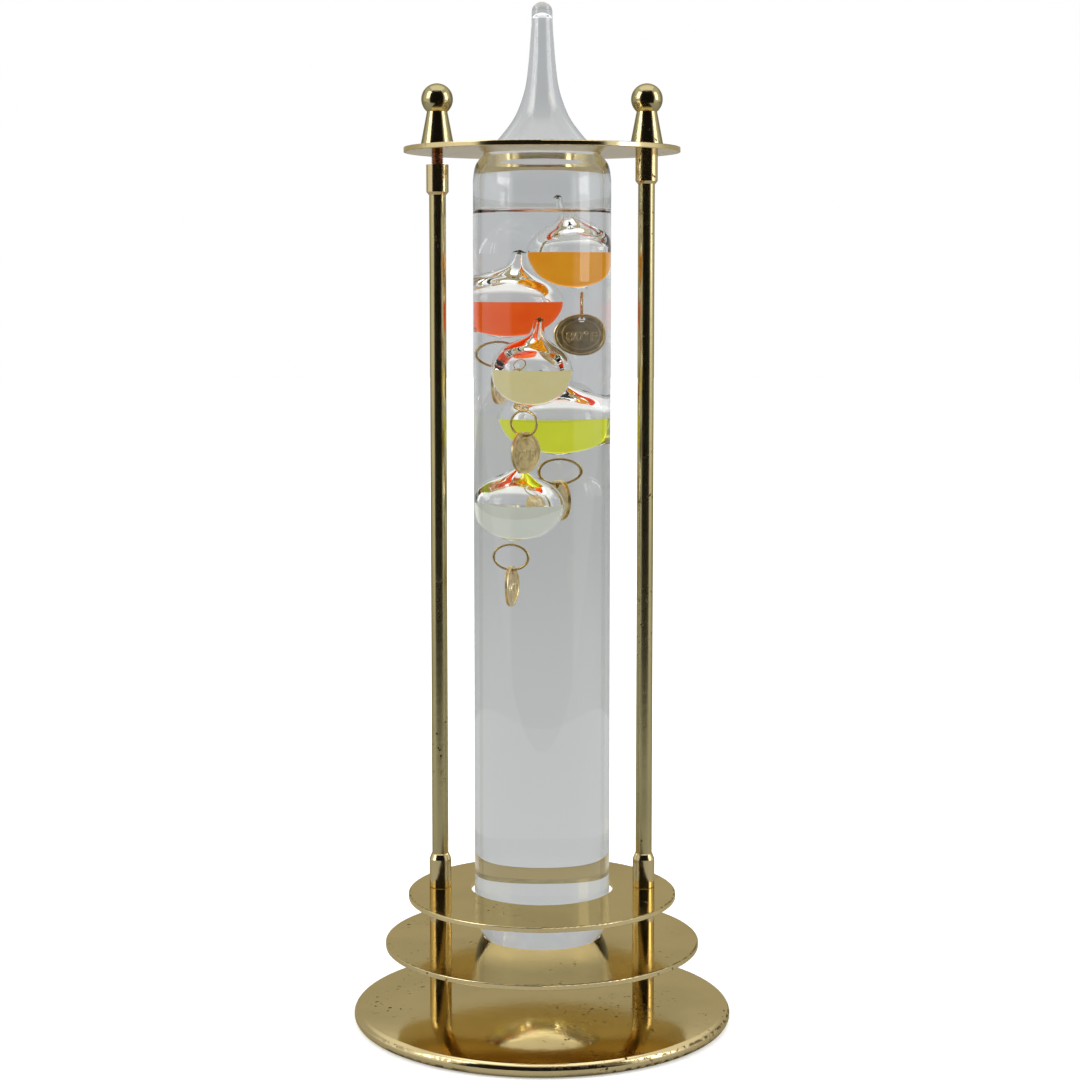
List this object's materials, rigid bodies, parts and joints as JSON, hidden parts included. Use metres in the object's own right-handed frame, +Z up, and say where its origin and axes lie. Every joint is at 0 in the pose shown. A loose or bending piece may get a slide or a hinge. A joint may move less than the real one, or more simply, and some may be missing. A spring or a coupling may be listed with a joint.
{
  "type": "galileo thermometer",
  "caption": "Sealed glass cylinder of clear oil with coloured blown glass floats and brass temperature tags, on a tiered round brass stand with posts and ball finials.",
  "frame": {"origin": "centre of the bounding box's underside, on the surface the base stands on, under the centre of the discs", "axes": "+Z up along the glass cylinder; +X towards the right-hand post; -Y towards the viewer, in front of the glass"},
  "size_m": [0.1222, 0.1222, 0.3267],
  "materials": {
    "polished_brass": "polished and lacquered",
    "rod_steel": "plated",
    "felt": "felt",
    "clear_glass": "clear",
    "clear_oil": "clear liquid",
    "float_80_filling": "coloured liquid",
    "float_76_filling": "coloured liquid",
    "float_72_filling": "coloured liquid",
    "float_68_filling": "coloured liquid",
    "float_64_filling": "coloured liquid",
    "tag_brass": "stamped"
  },
  "bodies": {
    "stand": {"base_plate": "polished_brass", "base_washers": "polished_brass", "base_nuts": "polished_brass", "lower_spacer_left": "polished_brass", "lower_spacer_right": "polished_brass", "middle_disc": "polished_brass", "upper_spacer_left": "polished_brass", "upper_spacer_right": "polished_brass", "collar_disc": "polished_brass", "foot_ferrule_left": "polished_brass", "foot_ferrule_right": "polished_brass", "post_left": "polished_brass", "post_right": "polished_brass", "head_ferrule_left": "polished_brass", "head_ferrule_right": "polished_brass", "tie_rod_left": "rod_steel", "tie_rod_right": "rod_steel", "top_plate": "polished_brass", "base_pad": "felt", "glass_cylinder": "clear_glass", "oil": "clear_oil"},
    "finial_left": {"finial_left": "polished_brass"},
    "finial_right": {"finial_right": "polished_brass"},
    "float_80": {"float_80_bulb": "clear_glass", "float_80_filling": "float_80_filling"},
    "float_80_tag": {"float_80_ring": "tag_brass", "float_80_tag": "tag_brass"},
    "float_76": {"float_76_bulb": "clear_glass", "float_76_filling": "float_76_filling"},
    "float_76_tag": {"float_76_ring": "tag_brass", "float_76_tag": "tag_brass"},
    "float_72": {"float_72_bulb": "clear_glass", "float_72_filling": "float_72_filling"},
    "float_72_tag": {"float_72_ring": "tag_brass", "float_72_tag": "tag_brass"},
    "float_68": {"float_68_bulb": "clear_glass", "float_68_filling": "float_68_filling"},
    "float_68_tag": {"float_68_ring": "tag_brass", "float_68_tag": "tag_brass"},
    "float_64": {"float_64_bulb": "clear_glass", "float_64_filling": "float_64_filling"},
    "float_64_tag": {"float_64_ring": "tag_brass", "float_64_tag": "tag_brass"}
  },
  "joints": [
    {"name": "float_80_sink", "type": "slide", "parent": "stand", "child": "float_80", "axis": [0, 0, 1], "range_m": [-0.012, 0], "deforming": ["oil"]},
    {"name": "float_76_sink", "type": "slide", "parent": "float_80", "child": "float_76", "axis": [0, 0, 1], "range_m": [-0.016, 0]},
    {"name": "float_72_sink", "type": "slide", "parent": "float_76", "child": "float_72", "axis": [0, 0, 1], "range_m": [-0.018, 0]},
    {"name": "float_68_sink", "type": "slide", "parent": "float_72", "child": "float_68", "axis": [0, 0, 1], "range_m": [-0.022, 0]},
    {"name": "float_64_sink", "type": "slide", "parent": "float_68", "child": "float_64", "axis": [0, 0, 1], "range_m": [-0.042, 0]},
    {"name": "float_80_tag_swing", "type": "hinge", "parent": "float_80", "child": "float_80_tag", "pos_m": [0.00907, 0.0045, 0.23525], "axis": [0.1994, -0.9799, 0], "range_deg": [-3, 8]},
    {"name": "float_76_tag_swing", "type": "hinge", "parent": "float_76", "child": "float_76_tag", "pos_m": [-0.00827, 0.0119, 0.21955], "axis": [0.8988, -0.4384, 0], "range_deg": [-8, 2]},
    {"name": "float_72_tag_swing", "type": "hinge", "parent": "float_72", "child": "float_72_tag", "pos_m": [-0.00457, -0.0034, 0.19825], "axis": [0.7912, -0.6115, 0], "range_deg": [-8, 5]},
    {"name": "float_68_tag_swing", "type": "hinge", "parent": "float_68", "child": "float_68_tag", "pos_m": [0.0031, 0.0142, 0.18193], "axis": [0.9143, 0.4051, 0], "range_deg": [-8, 8]},
    {"name": "float_64_tag_swing", "type": "hinge", "parent": "float_64", "child": "float_64_tag", "pos_m": [-0.00695, 0.005, 0.15488], "axis": [0.9409, -0.3387, 0], "range_deg": [-8, 8]},
    {"name": "finial_left_turn", "type": "hinge", "parent": "stand", "child": "finial_left", "pos_m": [-0.03325, 0.0054, 0.285], "axis": [0, 0, 1], "continuous": true},
    {"name": "finial_right_turn", "type": "hinge", "parent": "stand", "child": "finial_right", "pos_m": [0.03325, 0.0054, 0.285], "axis": [0, 0, 1], "continuous": true}
  ]
}
